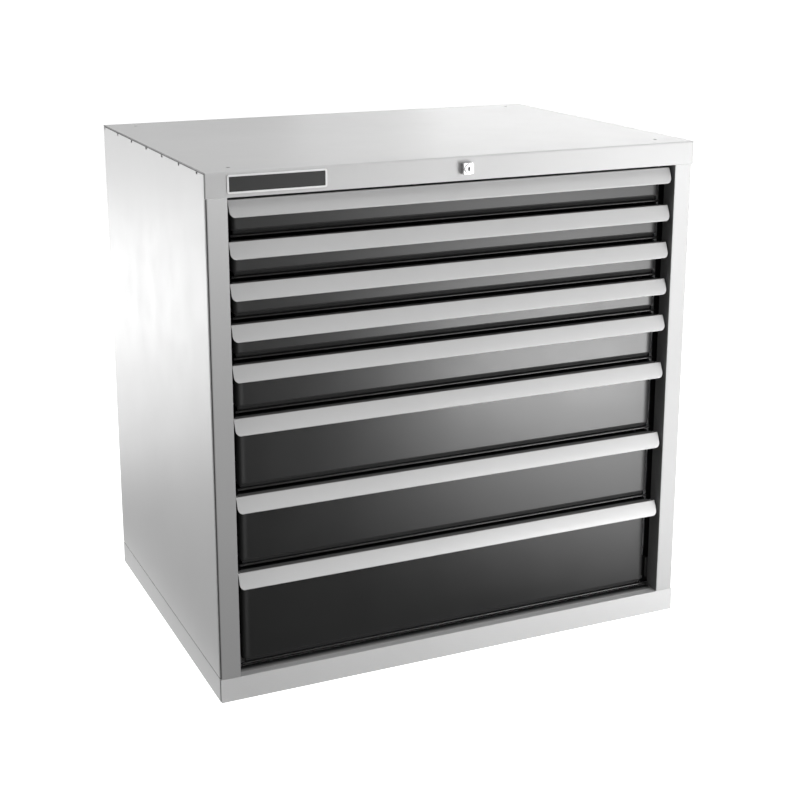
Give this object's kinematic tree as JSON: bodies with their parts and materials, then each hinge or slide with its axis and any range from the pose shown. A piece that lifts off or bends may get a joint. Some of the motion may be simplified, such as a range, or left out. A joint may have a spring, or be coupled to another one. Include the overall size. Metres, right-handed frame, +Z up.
{
  "type": "industrial drawer cabinet",
  "caption": "Free-standing sheet-metal cabinet with full-width grip-handle drawers on telescopic runners, a plinth, a flat top and a central lock.",
  "frame": {"origin": "centre of the cabinet's bounding box in plan, on the floor", "axes": "+Z up, drawers open towards -Y, +X to the right seen from the front"},
  "size_m": [1, 0.737, 1],
  "materials": {
    "light_paint": "smooth satin powder coat, light grey",
    "handle_grey": "fine satin, light grey",
    "black_satin": "satin black powder coat",
    "black_paint": "matt black paint",
    "zinc": "zinc plated steel",
    "bright_metal": "bright plated",
    "plate": "matt dark plate"
  },
  "bodies": {
    "housing": {"base_plinth": "light_paint", "floor_panel": "light_paint", "side_left": "light_paint", "side_right": "light_paint", "back_panel": "light_paint", "back_screws": "zinc", "top_cover": "light_paint", "top_inserts": "zinc", "post_left": "light_paint", "post_right": "light_paint", "front_uprights": "black_paint", "runner_uprights": "black_paint", "cabinet_rails": "zinc", "lock_housing": "bright_metal", "lock_brackets": "black_paint", "band_plate": "plate"},
    "drawer_1": {"drawer_1_tray": "black_paint", "drawer_1_front": "black_satin", "drawer_1_handle": "handle_grey", "drawer_1_rails": "zinc"},
    "mid_rails_1": {"drawer_1_mid_rails": "zinc"},
    "drawer_2": {"drawer_2_tray": "black_paint", "drawer_2_front": "black_satin", "drawer_2_handle": "handle_grey", "drawer_2_rails": "zinc"},
    "mid_rails_2": {"drawer_2_mid_rails": "zinc"},
    "drawer_3": {"drawer_3_tray": "black_paint", "drawer_3_front": "black_satin", "drawer_3_handle": "handle_grey", "drawer_3_rails": "zinc"},
    "mid_rails_3": {"drawer_3_mid_rails": "zinc"},
    "drawer_4": {"drawer_4_tray": "black_paint", "drawer_4_front": "black_satin", "drawer_4_handle": "handle_grey", "drawer_4_rails": "zinc"},
    "mid_rails_4": {"drawer_4_mid_rails": "zinc"},
    "drawer_5": {"drawer_5_tray": "black_paint", "drawer_5_front": "black_satin", "drawer_5_handle": "handle_grey", "drawer_5_rails": "zinc"},
    "mid_rails_5": {"drawer_5_mid_rails": "zinc"},
    "drawer_6": {"drawer_6_tray": "black_paint", "drawer_6_front": "black_satin", "drawer_6_handle": "handle_grey", "drawer_6_rails": "zinc"},
    "mid_rails_6": {"drawer_6_mid_rails": "zinc"},
    "drawer_7": {"drawer_7_tray": "black_paint", "drawer_7_front": "black_satin", "drawer_7_handle": "handle_grey", "drawer_7_rails": "zinc"},
    "mid_rails_7": {"drawer_7_mid_rails": "zinc"},
    "drawer_8": {"drawer_8_tray": "black_paint", "drawer_8_front": "black_satin", "drawer_8_handle": "handle_grey", "drawer_8_rails": "zinc"},
    "mid_rails_8": {"drawer_8_mid_rails": "zinc"},
    "lock_plug": {"lock_plug": "bright_metal"},
    "lock_link": {"lock_link": "zinc"},
    "lock_crank": {"lock_crank": "zinc"},
    "lock_bar": {"lock_bar": "zinc"}
  },
  "joints": [
    {"name": "drawer_1_slide", "type": "slide", "parent": "housing", "child": "drawer_1", "axis": [0, -1, 0], "range_m": [0, 0.6]},
    {"name": "drawer_2_slide", "type": "slide", "parent": "housing", "child": "drawer_2", "axis": [0, -1, 0], "range_m": [0, 0.6]},
    {"name": "drawer_3_slide", "type": "slide", "parent": "housing", "child": "drawer_3", "axis": [0, -1, 0], "range_m": [0, 0.6]},
    {"name": "drawer_4_slide", "type": "slide", "parent": "housing", "child": "drawer_4", "axis": [0, -1, 0], "range_m": [0, 0.6]},
    {"name": "drawer_5_slide", "type": "slide", "parent": "housing", "child": "drawer_5", "axis": [0, -1, 0], "range_m": [0, 0.6]},
    {"name": "drawer_6_slide", "type": "slide", "parent": "housing", "child": "drawer_6", "axis": [0, -1, 0], "range_m": [0, 0.6]},
    {"name": "drawer_7_slide", "type": "slide", "parent": "housing", "child": "drawer_7", "axis": [0, -1, 0], "range_m": [0, 0.6]},
    {"name": "drawer_8_slide", "type": "slide", "parent": "housing", "child": "drawer_8", "axis": [0, -1, 0], "range_m": [0, 0.6]},
    {"name": "mid_rails_1_slide", "type": "slide", "parent": "housing", "child": "mid_rails_1", "axis": [0, -1, 0], "range_m": [0, 0.3]},
    {"name": "mid_rails_2_slide", "type": "slide", "parent": "housing", "child": "mid_rails_2", "axis": [0, -1, 0], "range_m": [0, 0.3]},
    {"name": "mid_rails_3_slide", "type": "slide", "parent": "housing", "child": "mid_rails_3", "axis": [0, -1, 0], "range_m": [0, 0.3]},
    {"name": "mid_rails_4_slide", "type": "slide", "parent": "housing", "child": "mid_rails_4", "axis": [0, -1, 0], "range_m": [0, 0.3]},
    {"name": "mid_rails_5_slide", "type": "slide", "parent": "housing", "child": "mid_rails_5", "axis": [0, -1, 0], "range_m": [0, 0.3]},
    {"name": "mid_rails_6_slide", "type": "slide", "parent": "housing", "child": "mid_rails_6", "axis": [0, -1, 0], "range_m": [0, 0.3]},
    {"name": "mid_rails_7_slide", "type": "slide", "parent": "housing", "child": "mid_rails_7", "axis": [0, -1, 0], "range_m": [0, 0.3]},
    {"name": "mid_rails_8_slide", "type": "slide", "parent": "housing", "child": "mid_rails_8", "axis": [0, -1, 0], "range_m": [0, 0.3]},
    {"name": "lock_turn", "type": "hinge", "parent": "housing", "child": "lock_plug", "pos_m": [0, -0.3565, 0.9775], "axis": [0, 1, 0], "range_deg": [0, 90]},
    {"name": "lock_link_slide", "type": "slide", "parent": "housing", "child": "lock_link", "axis": [-1, 0, 0], "range_m": [0, 0.01]},
    {"name": "lock_crank_turn", "type": "hinge", "parent": "housing", "child": "lock_crank", "pos_m": [0.43314, -0.311, 0.964], "axis": [0, -1, 0], "range_deg": [0, 28.96]},
    {"name": "lock_bar_slide", "type": "slide", "parent": "housing", "child": "lock_bar", "axis": [0, 0, 1], "range_m": [0, 0.01]}
  ],
  "couplings": [
    {"joint": "mid_rails_1_slide", "follows": "drawer_1_slide", "ratio": 0.5},
    {"joint": "mid_rails_2_slide", "follows": "drawer_2_slide", "ratio": 0.5},
    {"joint": "mid_rails_3_slide", "follows": "drawer_3_slide", "ratio": 0.5},
    {"joint": "mid_rails_4_slide", "follows": "drawer_4_slide", "ratio": 0.5},
    {"joint": "mid_rails_5_slide", "follows": "drawer_5_slide", "ratio": 0.5},
    {"joint": "mid_rails_6_slide", "follows": "drawer_6_slide", "ratio": 0.5},
    {"joint": "mid_rails_7_slide", "follows": "drawer_7_slide", "ratio": 0.5},
    {"joint": "mid_rails_8_slide", "follows": "drawer_8_slide", "ratio": 0.5},
    {"joint": "lock_turn", "follows": "lock_bar_slide", "rad_per_m": 157.08},
    {"joint": "lock_link_slide", "follows": "lock_bar_slide", "ratio": 1},
    {"joint": "lock_crank_turn", "follows": "lock_bar_slide", "rad_per_m": 50.536}
  ]
}
